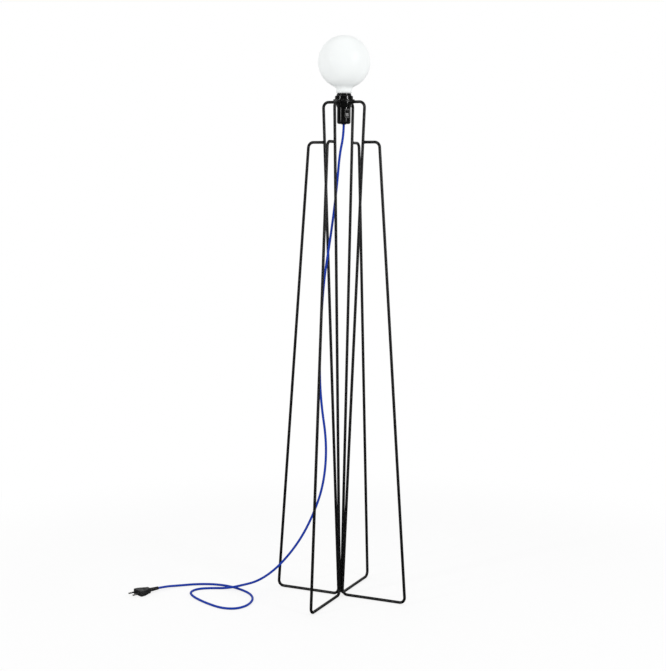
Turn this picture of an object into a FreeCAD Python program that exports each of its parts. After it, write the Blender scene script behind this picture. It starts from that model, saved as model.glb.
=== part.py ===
import FreeCAD, Part
import math
import os
import re
import Sketcher

# Floor lamp: four wings of bent round wire carry a ring, and the ring carries a screw lampholder
# with a rocker switch, a globe bulb and a textile cord with its plug.
# Millimetres, +Z up, origin on the floor in the middle of the four wings.
# The right wing lies along +X, the back wing along +Y.

SIZES = {
    # bent wire wings: reaches are from the lamp's axis to the wire's centre line
    "wire_diameter": 7.0,
    "bend_radius": 13.0,
    "foot_reach": 172.0,
    "shoulder_reach": 92.5,
    "shoulder_drop": 95.0,
    "bar_reach": 54.0,
    "bar_height": 1212.0,
    "bundle_gap": 0.2,
    "weld_bulge": 0.5,
    "weld_gap": 0.3,
    "nugget_length": 16.0,
    "nugget_lift": 1.5,
    # carrier ring between the four wire ends, which butt on flats of its rim
    "ring_reach": 24.6,
    "ring_flat_depth": 0.6,
    "ring_thickness": 4.0,
    "ring_clearance": 0.3,
    # lampholder sleeve: heights are from the seat, the upper face of the carrier ring
    "sleeve_rise": 16.0,
    "thread_radius": 19.3,
    "nose_radius": 16.8,
    "nose_drop": 4.5,
    "mouth_flare": 1.4,
    "mouth_depth": 5.0,
    "nut_room": 0.9,
    "taper_length": 7.0,
    "taper_step": 0.5,
    # shade rings on the sleeve's thread
    "flange_radius": 26.1,
    "flange_thickness": 2.5,
    "flange_rounding": 1.0,
    "collar_radius": 21.3,
    "collar_inset": 0.3,
    "collar_rounding": 1.6,
    "nut_radius": 22.8,
    "nut_thickness": 4.6,
    "thread_clearance": 0.15,
    "flute_radius": 0.9,
    "flute_depth": 0.45,
    "flute_margin": 0.8,
    # lampholder cap
    "cap_radius": 16.4,
    "cap_wall": 2.2,
    "cap_ledge": 1.2,
    "cap_hem": 13.25,
    "cap_rounding": 5.0,
    "spigot_rise": 5.8,
    "spigot_wall": 0.9,
    "slip_clearance": 0.1,
    # contacts inside the lampholder
    "shell_wall": 0.6,
    "shell_inset": 0.5,
    "block_thickness": 6.0,
    "spring_width": 5.0,
    "spring_thickness": 0.5,
    "spring_reach": 7.0,
    "spring_rise": 1.4,
    "terminal_side": 5.0,
    "terminal_length": 7.3,
    "terminal_spread": 6.5,
    "terminal_offset": 4.0,
    "screw_radius": 1.2,
    "screw_depth": 3.6,
    "screw_head_radius": 2.2,
    "screw_head_height": 1.4,
    "screw_slot_width": 0.6,
    "screw_slot_depth": 0.6,
    # rocker switch: its angle is measured from the right wing about +Z
    "switch_angle": -40.0,
    "switch_gap": 0.55,
    "frame_width": 12.5,
    "frame_height": 22.0,
    "frame_proud": 2.0,
    "frame_depth": 9.4,
    "frame_rounding": 0.7,
    "rocker_width": 7.7,
    "rocker_half_height": 7.3,
    "rocker_crest": 3.3,
    "rocker_valley": 2.2,
    "rocker_back": 1.8,
    "rocker_hub": 2.5,
    "rocker_rounding": 0.4,
    "rocker_clearance": 0.3,
    "rocker_room": 3.9,
    "rocker_tilt": 7.5,
    "pivot_depth": 3.4,
    "pin_radius": 0.8,
    "pin_clearance": 0.05,
    # cord and its grip in the floor of the cap
    "cord_diameter": 5.8,
    "grip_radius": 5.0,
    "grip_collar_radius": 7.0,
    "grip_collar_height": 2.6,
    "grip_rise": 11.0,
    "grip_nose_radius": 5.8,
    "grip_nose_length": 1.2,
    "grip_tip_radius": 5.2,
    "lead_radius": 1.0,
    "lead_spread": 1.1,
    "cord_entry": 5.5,
    # bulb: heights inside it are from the neck's foot
    "globe_diameter": 125.0,
    "neck_length": 11.5,
    "glass_wall": 1.2,
    "neck_radius": 19.2,
    "neck_gap": 0.5,
    "neck_cove": 9.0,
    "neck_rounding": 4.5,
    "tail_radius": 11.6,
    "tail_length": 17.0,
    "screw_cap_radius": 13.2,
    "screw_cap_length": 23.0,
    "screw_cap_wall": 0.5,
    "screw_cap_bevel": 1.6,
    "screw_clearance": 0.3,
    "insulator_height": 4.5,
    "insulator_tip_radius": 5.2,
    "button_radius": 4.6,
    "button_height": 1.2,
    "stem_radius": 4.0,
    "stem_length": 48.5,
    "flare_thickness": 1.5,
    "support_radius": 0.5,
    "support_length": 38.0,
    "support_spread": 14.0,
    # plug on the cord's far end
    "plug_width": 35.0,
    "plug_waist": 17.0,
    "plug_tail": 14.4,
    "plug_thickness": 13.7,
    "plug_square_length": 12.0,
    "plug_shoulder_length": 30.0,
    "plug_length": 36.0,
    "plug_rounding": 2.0,
    "plug_pin_radius": 2.0,
    "plug_pin_length": 19.0,
    "plug_pin_spacing": 18.6,
    "plug_pin_rounding": 1.2,
    "relief_length": 25.0,
    "relief_root_radius": 5.0,
    "relief_tip_radius": 4.0,
    "relief_groove_width": 1.6,
    "relief_groove_depth": 0.9,
    "relief_groove_pitch": 4.0,
    # one overrun serves all cuts, and two places nearer than this are the same place
    "overrun": 1.0,
    "same_place": 0.001,
}

# Places that several pieces share, worked out from the sizes. The lampholder's and the bulb's are
# heights above the seat.
DERIVED = {
    "wire_radius": "wire_diameter / 2",
    "bundle_reach": "(wire_diameter + bundle_gap) / sqrt(2)",
    "shoulder_height": "bar_height - shoulder_drop",
    "wire_lean": "(bar_reach - bundle_reach) / (bar_height - wire_radius)",
    "bar_end": "bundle_reach + (shoulder_height - wire_radius) * wire_lean + wire_radius + weld_gap",
    "seat_height": "bar_height + wire_radius",
    "neck_foot": "sleeve_rise + neck_gap",
    "globe_rise": "neck_length + globe_diameter / 2",
    "globe_level": "neck_foot + globe_rise",
    "tail_foot": "neck_foot - tail_length",
    "screw_cap_foot": "neck_foot - screw_cap_length",
    "insulator_foot": "screw_cap_foot - insulator_height",
    "bulb_tip": "insulator_foot - button_height",
    "stem_top": "tail_foot + stem_length",
    "block_top": "bulb_tip - slip_clearance - spring_rise",
    "block_foot": "block_top - block_thickness",
    "shell_radius": "screw_cap_radius + screw_clearance",
    "shell_outside": "shell_radius + shell_wall",
    "shell_top": "sleeve_rise - mouth_depth - shell_inset",
    "nut_foot": "0 - ring_thickness - nut_thickness",
    "thread_foot": "nut_foot - nut_room",
    "sleeve_foot": "thread_foot - taper_length",
    "spigot_top": "sleeve_foot + spigot_rise",
    "cap_bore": "cap_radius - cap_wall",
    "spigot_radius": "cap_bore + spigot_wall",
    "switch_level": "block_foot - switch_gap - frame_height / 2",
    "frame_face": "cap_radius + frame_proud",
    "frame_back": "frame_face - frame_depth",
    "pivot_reach": "frame_face - pivot_depth",
    "cap_foot": "switch_level - frame_height / 2 - cap_hem",
    "cap_floor": "cap_foot + cap_wall",
    "lead_foot": "cap_foot + cord_entry",
    "grip_top": "cap_foot + grip_rise",
}

# The cord's run from the exit of the lampholder to the plug, hand-laid: it hangs between the
# front and the left wing, lands outside them and makes one loose loop on the floor.
CORD_ROUTE = [
    (0.0, 0.0, 1165.5),
    (0.0, 0.0, 1134.0),
    (-5.0, -12.0, 1088.0),
    (-6.0, -21.0, 1027.0),
    (-10.0, -31.0, 954.0),
    (-16.0, -42.0, 877.0),
    (-25.0, -51.0, 799.0),
    (-29.0, -57.0, 719.0),
    (-31.0, -60.0, 639.0),
    (-33.0, -59.0, 559.0),
    (-29.0, -55.0, 481.0),
    (-20.0, -48.0, 407.0),
    (-22.0, -43.0, 338.0),
    (-33.0, -42.0, 272.0),
    (-54.0, -45.0, 212.0),
    (-81.0, -49.0, 155.0),
    (-114.0, -56.0, 105.0),
    (-151.0, -66.0, 62.0),
    (-191.0, -78.0, 32.0),
    (-234.0, -83.0, 17.0),
    (-277.0, -80.0, 2.9),
    (-314.0, -96.0, 2.9),
    (-342.0, -116.0, 2.9),
    (-346.0, -148.0, 2.9),
    (-322.0, -174.0, 2.9),
    (-289.0, -194.0, 2.9),
    (-252.0, -211.0, 2.9),
    (-214.0, -223.0, 2.9),
    (-182.0, -215.0, 2.9),
    (-168.0, -188.0, 2.9),
    (-169.0, -156.0, 2.9),
    (-180.0, -124.0, 2.9),
    (-203.0, -95.0, 2.9),
    (-238.0, -75.0, 2.9),
    (-278.0, -62.0, 2.9),
    (-323.0, -64.0, 2.9),
    (-364.0, -83.0, 2.9),
    (-397.0, -112.0, 2.9),
    (-421.0, -148.0, 6.85),
    (-439.0, -187.0, 6.85),
]

# how much of the shorter of two runs an arc of the cord takes up
ARC_SHARE = 0.45
FLUTE_COUNT = 30

UP = FreeCAD.Vector(0, 0, 1)

doc = FreeCAD.newDocument("floor_lamp")
sheet = doc.addObject("Spreadsheet::Sheet", "sizes")
for row, (alias, number) in enumerate(SIZES.items(), 1):
    sheet.set("A%d" % row, alias)
    sheet.set("B%d" % row, str(number))
    sheet.setAlias("B%d" % row, alias)
doc.recompute()

WORD = re.compile("[a-z][a-z_]+")
parts = []


def formula(text):
    """Points every size and derived place named in the text at its cell or variable."""
    def pointer(word):
        name = word.group()
        if name in SIZES:
            return "sizes." + name
        return "derived." + name if name in DERIVED else name

    return WORD.sub(pointer, text)


derived = doc.addObject("App::VarSet", "derived")
for name, text in DERIVED.items():
    derived.addProperty("App::PropertyFloat", name)
    derived.setExpression(name, formula(text))
    doc.recompute()


def size(name):
    return float(sheet.get(name)) if name in SIZES else getattr(derived, name)


def new_body(label):
    body = doc.addObject("PartDesign::Body", label)
    body.Label = label
    parts.append(body)
    return body


def origin_feature(body, role):
    for feature in body.Origin.OriginFeatures:
        if feature.Role == role:
            return feature
    raise ValueError("no origin feature " + role)


def new_sketch(body, name, role, offset=None):
    """A sketch on one of the body's own planes, moved along its normal by a formula."""
    sketch = body.newObject("Sketcher::SketchObject", name)
    sketch.AttachmentSupport = [(origin_feature(body, role), "")]
    sketch.MapMode = "FlatFace"
    if offset:
        sketch.setExpression("AttachmentOffset.Base.z", formula(offset))
    return sketch


def pin_down(sketch, geometry, point, across, along):
    """Holds a sketch point at formulas of its two coordinates; the formula 0 puts it on the axis."""
    spot = sketch.getPoint(geometry, point)
    for kind, text, axis, now in (("DistanceX", across, -2, spot.x), ("DistanceY", along, -1, spot.y)):
        if text == "0":
            sketch.addConstraint(Sketcher.Constraint("PointOnObject", geometry, point, axis))
        else:
            number = sketch.addConstraint(Sketcher.Constraint(kind, -1, 1, geometry, point, now))
            sketch.setExpression("Constraints[%d]" % number, formula(text))


def draw_polygon(sketch, outline):
    """Draws a closed polygon whose corners are held by pairs of formulas."""
    count = len(outline)
    corners = []
    for step in range(count):
        turn = math.tau * step / count
        corners.append(FreeCAD.Vector(math.cos(turn), math.sin(turn), 0) * size("overrun"))
    for step in range(count):
        sketch.addGeometry(Part.LineSegment(corners[step], corners[(step + 1) % count]))
    for step in range(count):
        sketch.addConstraint(Sketcher.Constraint("Coincident", step, 2, (step + 1) % count, 1))
    for step, (across, along) in enumerate(outline):
        pin_down(sketch, step, 1, across, along)


def lathe(body, name, outline, kind="PartDesign::Revolution"):
    """Turns an outline of (radius, height) formulas about the body's Z axis."""
    sketch = new_sketch(body, name + "_outline", "XZ_Plane")
    draw_polygon(sketch, outline)
    turned = body.newObject(kind, name)
    turned.Profile = sketch
    turned.ReferenceAxis = (origin_feature(body, "Z_Axis"), [""])
    turned.Angle = 360.0
    return sketch, turned


def draw_circle(sketch, across, along, radius):
    circle = sketch.addGeometry(Part.Circle(FreeCAD.Vector(0, 0, 0), UP, size("overrun")))
    pin_down(sketch, circle, 3, across, along)
    number = sketch.addConstraint(Sketcher.Constraint("Radius", circle, size("overrun")))
    sketch.setExpression("Constraints[%d]" % number, formula(radius))
    return circle


def draw_rectangle(sketch, left, bottom, right, top):
    draw_polygon(sketch, [(left, bottom), (right, bottom), (right, top), (left, top)])


def pad(body, name, sketch, length, both_ways=False):
    raised = body.newObject("PartDesign::Pad", name)
    raised.Profile = sketch
    raised.setExpression("Length", formula(length))
    if both_ways:
        raised.Midplane = True
    return raised


def pocket(body, name, sketch, length, both_ways=False, flipped=False):
    """Cuts a sketch out of the body and makes sure that something was cut."""
    doc.recompute()
    before = body.Shape.Volume
    cut = body.newObject("PartDesign::Pocket", name)
    cut.Profile = sketch
    cut.setExpression("Length", formula(length))
    cut.Reversed = flipped
    if both_ways:
        cut.Midplane = True
    doc.recompute()
    if body.Shape.Volume >= before:
        raise ValueError(name + " cuts nothing")
    return cut


def polar_pattern(body, name, feature, count):
    pattern = body.newObject("PartDesign::PolarPattern", name)
    pattern.Originals = [feature]
    pattern.Axis = (origin_feature(body, "Z_Axis"), [""])
    pattern.Angle = 360.0
    pattern.Occurrences = count
    body.Tip = pattern
    return pattern


def round_edges(body, name, edges, radius):
    """Fillets the numbered edges of the body's last feature."""
    rounded = body.newObject("PartDesign::Fillet", name)
    rounded.Base = (body.Tip if body.Tip != rounded else rounded.BaseFeature, edges)
    rounded.setExpression("Radius", formula(radius))
    return rounded


def edges_where(body, wanted):
    doc.recompute()
    return ["Edge%d" % number for number, edge in enumerate(body.Tip.Shape.Edges, 1) if wanted(edge)]


def circle_at(radius, height):
    """A test for a circular edge of this radius, level at this height."""
    def matches(edge):
        if edge.Degenerated or not isinstance(edge.Curve, Part.Circle):
            return False
        off = max(abs(edge.Curve.Radius - radius), abs(edge.Curve.Center.z - height))
        return off < size("same_place")

    return matches


def turned_corner(sketch, corner):
    """A test for the circular edge that a corner of a lathe outline turned into."""
    doc.recompute()
    spot = sketch.Geometry[corner].StartPoint
    return circle_at(spot.x, spot.y)


def round_turned(body, name, sketch, corner, radius):
    return round_edges(body, name, edges_where(body, turned_corner(sketch, corner)), radius)


def seat_place(turn=0.0):
    """The place of the lampholder's own frame, whose zero height is the carrier ring's upper face."""
    return FreeCAD.Placement(UP * size("seat_height"), FreeCAD.Rotation(UP, turn))


def seat(body, turn=0.0):
    body.Placement = seat_place(turn)
    body.setExpression("Placement.Base.z", formula("seat_height"))


def add_shape(label, shape, placement=None):
    """A piece whose shape is worked out here from the sheet's sizes."""
    piece = doc.addObject("Part::Feature", label)
    piece.Label = label
    piece.Shape = shape
    if placement:
        piece.Placement = placement
    parts.append(piece)
    return piece


# Wings: one wire each, bent at four corners. The wire starts at the carrier ring, runs out to the
# top corner, down to the floor beside the axis, out along the floor, up to the shoulder and back in
# to its own inner run, where a small bead of weld holds it.

def bend_points(before, corner, after, radius):
    """Where a tangent arc leaves one line and joins the next, its middle, and its sense of turn."""
    into = (before - corner).normalize()
    out = (after - corner).normalize()
    half = into.getAngle(out) / 2
    reach = radius / math.tan(half)
    middle = corner + (into + out).normalize() * (radius / math.sin(half))
    return corner + into * reach, corner + out * reach, middle, into.cross(out).z > 0


def draw_bends(sketch, spots, radius):
    """Draws the lines between the spots and joins each line to the next by a tangent arc."""
    bends = [bend_points(*three, radius) for three in zip(spots, spots[1:], spots[2:])]
    starts = [spots[0]] + [joining for _, joining, _, _ in bends]
    ends = [leaving for leaving, _, _, _ in bends] + [spots[-1]]
    for start, end in zip(starts, ends):
        sketch.addGeometry(Part.LineSegment(start, end))
    for line, (leaving, joining, middle, clockwise) in enumerate(bends):
        low, high = (joining - middle, leaving - middle) if clockwise else (leaving - middle, joining - middle)
        low_turn = math.atan2(low.y, low.x)
        high_turn = math.atan2(high.y, high.x)
        if high_turn < low_turn:
            high_turn += math.tau
        arc = sketch.addGeometry(Part.ArcOfCircle(Part.Circle(middle, UP, radius), low_turn, high_turn))
        first, last = (2, 1) if clockwise else (1, 2)
        sketch.addConstraint(Sketcher.Constraint("Tangent", line, 2, arc, first))
        sketch.addConstraint(Sketcher.Constraint("Tangent", arc, last, line + 1, 1))
        number = sketch.addConstraint(Sketcher.Constraint("Radius", arc, radius))
        sketch.setExpression("Constraints[%d]" % number, formula("bend_radius"))


def make_wing(label, quarter_turns):
    body = new_body(label)
    corners = [("ring_reach", "bar_height"), ("bar_reach", "bar_height"), ("bundle_reach", "wire_radius"),
               ("foot_reach", "wire_radius"), ("shoulder_reach", "shoulder_height"),
               ("bar_end", "shoulder_height")]
    spots = [FreeCAD.Vector(size(across), size(up), 0) for across, up in corners]
    path = new_sketch(body, label + "_path", "XZ_Plane")
    draw_bends(path, spots, size("bend_radius"))
    pin_down(path, 0, 1, *corners[0])
    pin_down(path, len(corners) - 2, 2, *corners[-1])
    # the true corners are points that both neighbouring lines aim at
    for number in range(1, len(corners) - 1):
        mark = path.addGeometry(Part.Point(spots[number]), True)
        pin_down(path, mark, 1, *corners[number])
        path.addConstraint(Sketcher.Constraint("PointOnObject", mark, 1, number - 1))
        path.addConstraint(Sketcher.Constraint("PointOnObject", mark, 1, number))

    section = new_sketch(body, label + "_section", "YZ_Plane", "ring_reach")
    draw_circle(section, "0", "bar_height", "wire_radius")
    doc.recompute()
    run = body.newObject("PartDesign::AdditivePipe", label + "_run")
    run.Profile = section
    run.Spine = (path, [""])
    doc.recompute()

    bead = body.newObject("PartDesign::AdditiveSphere", label + "_bead")
    bead.setExpression("Radius", formula("wire_radius + weld_bulge"))
    bead.setExpression("Placement.Base.x", formula("bar_end"))
    bead.setExpression("Placement.Base.z", formula("shoulder_height"))
    body.Placement = FreeCAD.Placement(FreeCAD.Vector(0, 0, 0), FreeCAD.Rotation(UP, 90.0 * quarter_turns))
    doc.recompute()
    return body


wings = [make_wing(label, turns) for turns, label in
         enumerate(("wing_right", "wing_back", "wing_left", "wing_front"))]


# Weld nugget: it fills the space between the four inner wires just above their floor bends.

def make_base_weld():
    bundle = doc.addObject("Part::Compound", "wire_bundle")
    bundle.Links = wings
    core = doc.addObject("Part::Cylinder", "weld_core")
    core.setExpression("Radius", formula("(wire_diameter + bundle_gap) / 2"))
    core.setExpression("Height", formula("nugget_length"))
    core.setExpression("Placement.Base.z", formula("wire_radius + bend_radius + nugget_lift"))
    weld = doc.addObject("Part::Cut", "base_weld")
    weld.Label = "base_weld"
    weld.Base = core
    weld.Tool = bundle
    parts.append(weld)


make_base_weld()


# Carrier ring: a flat steel ring that the four wire ends are welded to, edge on.

def make_carrier_ring():
    body = new_body("carrier_ring")
    bore = "thread_radius + ring_clearance"
    rim = "ring_reach + ring_flat_depth"
    lathe(body, "ring", [(bore, "0 - ring_thickness"), (rim, "0 - ring_thickness"), (rim, "0"), (bore, "0")])
    beside = new_sketch(body, "flat", "XY_Plane")
    draw_rectangle(beside, "ring_reach", "0 - wire_diameter", rim + " + overrun", "wire_diameter")
    cut = pocket(body, "flat_cut", beside, "2 * ring_thickness + overrun", both_ways=True)
    polar_pattern(body, "flats", cut, 4)
    seat(body)


make_carrier_ring()


# Shade rings: two moulded rings run on the sleeve's thread and clamp the carrier ring.

def flute(body, name, foot, rim, length):
    """Cuts upright grip flutes into a moulded ring's rim."""
    sketch = new_sketch(body, name + "_section", "XY_Plane", foot)
    draw_circle(sketch, "%s + flute_radius - flute_depth" % rim, "0", "flute_radius")
    cut = pocket(body, name, sketch, length, flipped=True)
    polar_pattern(body, name + "_row", cut, FLUTE_COUNT)


def make_shade_rings():
    bore = "thread_radius + thread_clearance"
    upper = new_body("shade_ring_upper")
    top = "sleeve_rise - nose_drop - collar_inset"
    outline, _ = lathe(upper, "collar", [
        (bore, "0"), ("flange_radius", "0"), ("flange_radius", "flange_thickness"),
        ("collar_radius", "flange_thickness"), ("collar_radius", top), (bore, top)])
    round_turned(upper, "flange_edge", outline, 2, "flange_rounding")
    round_turned(upper, "collar_edge", outline, 4, "collar_rounding")
    straight = top + " - collar_rounding - flange_thickness - 2 * flute_margin"
    flute(upper, "grip", "flange_thickness + flute_margin", "collar_radius", straight)
    seat(upper)

    lower = new_body("shade_ring_lower")
    top = "0 - ring_thickness"
    outline, _ = lathe(lower, "nut", [
        (bore, "nut_foot"), ("nut_radius", "nut_foot"), ("nut_radius", top), (bore, top)])
    round_turned(lower, "nut_edge", outline, 1, "flange_rounding")
    straight = "nut_thickness - flange_rounding - 2 * flute_margin"
    flute(lower, "grip", "nut_foot + flange_rounding + flute_margin", "nut_radius", straight)
    seat(lower)


make_shade_rings()


# Lampholder sleeve: a straight stretch that carries the shade rings, a tapered nose with a flared
# mouth for the bulb, and a taper down to the cap, whose spigot it takes.

def make_sleeve():
    body = new_body("holder_sleeve")
    bore = "shell_outside + slip_clearance"
    socket = "spigot_radius + slip_clearance"
    ledge = "spigot_top + slip_clearance"
    outline, _ = lathe(body, "sleeve", [
        (bore + " + mouth_flare", "sleeve_rise"), ("nose_radius", "sleeve_rise"),
        ("thread_radius", "sleeve_rise - nose_drop"), ("thread_radius", "thread_foot"),
        ("cap_radius + taper_step", "sleeve_foot"), (socket, "sleeve_foot"),
        (socket, ledge), (bore, ledge), (bore, "sleeve_rise - mouth_depth")])
    round_turned(body, "nose", outline, 1, "nose_drop / 4")
    round_turned(body, "shoulder", outline, 2, "nose_drop / 2")
    seat(body)


make_sleeve()


# Lampholder cap: a cup with a rounded floor, a ledge for the contact block, a spigot into the
# sleeve, a window for the switch and a hole for the cord grip.

def make_cap():
    body = new_body("holder_cap")
    lower = "cap_bore - cap_ledge"
    outline, _ = lathe(body, "cup", [
        ("cap_bore", "spigot_top"), ("spigot_radius", "spigot_top"), ("spigot_radius", "sleeve_foot"),
        ("cap_radius", "sleeve_foot"), ("cap_radius", "cap_foot"), ("grip_radius", "cap_foot"),
        ("grip_radius", "cap_floor"), (lower, "cap_floor"), (lower, "block_foot"), ("cap_bore", "block_foot")])
    round_turned(body, "floor_edge", outline, 4, "cap_rounding")
    round_turned(body, "floor_corner", outline, 7, "cap_rounding - cap_wall")
    window = new_sketch(body, "window", "YZ_Plane")
    half_width = "(frame_width / 2 + slip_clearance)"
    half_height = "(frame_height / 2 + slip_clearance)"
    draw_rectangle(window, "0 - " + half_width, "switch_level - " + half_height,
                   half_width, "switch_level + " + half_height)
    pocket(body, "window_cut", window, "cap_radius + overrun", flipped=True)
    seat(body, size("switch_angle"))


make_cap()


# Switch frame: a block pushed into the cap's window from outside, with a pocket for the rocker and
# a cross hole for its pin.

def make_switch_frame():
    body = new_body("switch_frame")
    block = new_sketch(body, "block", "YZ_Plane", "frame_back")
    draw_rectangle(block, "0 - frame_width / 2", "switch_level - frame_height / 2",
                   "frame_width / 2", "switch_level + frame_height / 2")
    pad(body, "block_pad", block, "frame_depth")

    def on_face(edge):
        return all(abs(vertex.X - size("frame_face")) < size("same_place") for vertex in edge.Vertexes)

    round_edges(body, "face_edge", edges_where(body, on_face), "frame_rounding")
    well = new_sketch(body, "well", "YZ_Plane", "pivot_reach - rocker_room")
    half_width = "(rocker_width / 2 + rocker_clearance)"
    half_height = "(rocker_half_height + 2 * rocker_clearance)"
    draw_rectangle(well, "0 - " + half_width, "switch_level - " + half_height,
                   half_width, "switch_level + " + half_height)
    pocket(body, "well_cut", well, "pivot_depth + rocker_room + overrun", flipped=True)
    hole = new_sketch(body, "hole", "XZ_Plane")
    draw_circle(hole, "pivot_reach", "switch_level", "pin_radius")
    pocket(body, "hole_cut", hole, "frame_width + overrun", both_ways=True)
    seat(body, size("switch_angle"))


make_switch_frame()


# Rocker: a shallow V across its face, so that each end shows when it stands out. It rests with its
# upper end pressed in, one tilt off its middle position, on a pin through the frame.

def make_rocker():
    body = new_body("switch_rocker")
    side = new_sketch(body, "side", "XZ_Plane")
    draw_polygon(side, [
        ("pivot_reach + rocker_crest", "switch_level + rocker_half_height"),
        ("pivot_reach + rocker_valley", "switch_level"),
        ("pivot_reach + rocker_crest", "switch_level - rocker_half_height"),
        ("pivot_reach", "switch_level - rocker_half_height + rocker_clearance"),
        ("pivot_reach - rocker_back", "switch_level - rocker_hub"),
        ("pivot_reach - rocker_back", "switch_level + rocker_hub"),
        ("pivot_reach", "switch_level + rocker_half_height - rocker_clearance")])
    pad(body, "side_pad", side, "rocker_width", both_ways=True)

    def tip(edge):
        ends = [vertex.X - size("pivot_reach") - size("rocker_crest") for vertex in edge.Vertexes]
        return max(abs(end) for end in ends) < size("same_place")

    round_edges(body, "tip_edge", edges_where(body, tip), "rocker_rounding")
    hole = new_sketch(body, "hole", "XZ_Plane")
    draw_circle(hole, "pivot_reach", "switch_level", "pin_radius + pin_clearance")
    pocket(body, "hole_cut", hole, "rocker_width + overrun", both_ways=True)
    place = seat_place(size("switch_angle"))
    pivot = FreeCAD.Vector(size("pivot_reach"), 0, size("switch_level"))
    tilt = FreeCAD.Rotation(FreeCAD.Vector(0, 1, 0), -size("rocker_tilt"))
    body.Placement = place.multiply(FreeCAD.Placement(FreeCAD.Vector(0, 0, 0), tilt, pivot))

    pin = doc.addObject("Part::Cylinder", "rocker_pin")
    pin.Label = "rocker_pin"
    pin.setExpression("Radius", formula("pin_radius"))
    pin.setExpression("Height", formula("frame_width"))
    end = pivot + FreeCAD.Vector(0, size("frame_width") / 2, 0)
    lying = FreeCAD.Placement(end, FreeCAD.Rotation(FreeCAD.Vector(1, 0, 0), 90.0))
    pin.Placement = place.multiply(lying)
    parts.append(pin)


make_rocker()


# Contacts: a brass screw shell on a ceramic block, a bent centre contact on top of the block, and
# two terminals with their screws below it.

def make_contacts():
    shell = new_body("screw_shell")
    lathe(shell, "tube", [("shell_radius", "block_top"), ("shell_outside", "block_top"),
                          ("shell_outside", "shell_top"), ("shell_radius", "shell_top")])
    seat(shell)

    block = new_body("contact_block")
    rim = "cap_bore - slip_clearance"
    lathe(block, "disc", [("0", "block_foot"), (rim, "block_foot"), (rim, "block_top"), ("0", "block_top")])
    seat(block, size("switch_angle"))

    spring = new_body("centre_contact")
    side = new_sketch(spring, "strip", "XZ_Plane")
    raised = "block_top + spring_rise"
    draw_polygon(side, [
        ("0 - spring_reach", "block_top"),
        ("spring_reach / 2", "block_top"),
        ("spring_reach / 2", "block_top + spring_thickness"),
        ("0", "block_top + spring_thickness"),
        ("spring_reach / 2", raised + " - spring_thickness"),
        ("spring_reach / 2", raised),
        ("0 - spring_thickness", raised),
        ("0 - spring_reach / 2", "block_top + spring_thickness"),
        ("0 - spring_reach", "block_top + spring_thickness")])
    pad(spring, "strip_pad", side, "spring_width", both_ways=True)
    seat(spring, size("switch_angle"))


def make_terminals():
    blocks = []
    screws = []
    side = size("terminal_side")
    foot = size("block_foot") - size("terminal_length")
    inward = FreeCAD.Vector(1, 0, 0)
    for spread in (-size("terminal_spread"), size("terminal_spread")):
        corner = FreeCAD.Vector(-size("terminal_offset") - side / 2, spread - side / 2, foot)
        box = Part.makeBox(side, side, size("terminal_length"), corner)
        face = FreeCAD.Vector(corner.x, spread, foot + size("terminal_length") / 2)
        shank = Part.makeCylinder(size("screw_radius"), size("screw_depth"), face, inward)
        outer = face - inward * size("screw_head_height")
        head = Part.makeCylinder(size("screw_head_radius"), size("screw_head_height"), outer, inward)
        across = size("screw_head_radius") + size("overrun")
        slot_corner = outer - FreeCAD.Vector(size("overrun"), size("screw_slot_width") / 2, across)
        slot = Part.makeBox(size("overrun") + size("screw_slot_depth"), size("screw_slot_width"),
                            2 * across, slot_corner)
        blocks.append(box.cut(shank))
        screws.append(head.fuse(shank).cut(slot).removeSplitter())
    place = seat_place(size("switch_angle"))
    add_shape("terminal_blocks", Part.makeCompound(blocks), place)
    add_shape("terminal_screws", Part.makeCompound(screws), place)


make_contacts()
make_terminals()


# Cord grip: a bush in the cap's floor, with a collar inside and a low tapered rim outside.

def make_cord_grip():
    body = new_body("cord_grip")
    bore = "cord_diameter / 2"
    narrow = "lead_spread + lead_radius + slip_clearance"
    collar_top = "cap_floor + grip_collar_height"
    lathe(body, "bush", [
        (bore, "cap_foot - grip_nose_length"), ("grip_tip_radius", "cap_foot - grip_nose_length"),
        ("grip_nose_radius", "cap_foot"), ("grip_radius", "cap_foot"), ("grip_radius", "cap_floor"),
        ("grip_collar_radius", "cap_floor"), ("grip_collar_radius", collar_top), ("grip_radius", collar_top),
        ("grip_radius", "grip_top"), (narrow, "grip_top"), (narrow, "lead_foot"), (bore, "lead_foot")])
    seat(body)


make_cord_grip()


# Tubes for the cord and the leads: straight runs joined by tangent arcs, each arc as large as its
# two runs allow.

def tube_path(points):
    spots = [FreeCAD.Vector(*point) for point in points]
    edges = []
    radii = []
    here = spots[0]
    for before, corner, after in zip(spots, spots[1:], spots[2:]):
        into = corner - before
        out = after - corner
        reach = ARC_SHARE * min(into.Length, out.Length)
        turn = into.getAngle(out)
        radius = reach / math.tan(turn / 2)
        leaving = corner - FreeCAD.Vector(into).normalize() * reach
        joining = corner + FreeCAD.Vector(out).normalize() * reach
        inward = (leaving + joining) * 0.5 - corner
        sagitta = radius / math.cos(turn / 2) - radius
        middle = corner + inward.normalize() * sagitta
        edges.append(Part.LineSegment(here, leaving).toShape())
        edges.append(Part.Arc(leaving, middle, joining).toShape())
        radii.append(radius)
        here = joining
    edges.append(Part.LineSegment(here, spots[-1]).toShape())
    return Part.Wire(edges), radii


def make_tube(points, radius):
    path, radii = tube_path(points)
    start = FreeCAD.Vector(*points[0])
    along = FreeCAD.Vector(*points[1]) - start
    rim = Part.Wire([Part.Circle(start, along, radius).toShape()])
    tube = path.makePipeShell([rim], True, False)
    share = tube.Volume / (math.pi * radius ** 2 * path.Length)
    return tube, path.Length, radii, share


# Leads: the cord's two insulated cores, from its end in the grip to the two terminals.

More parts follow.
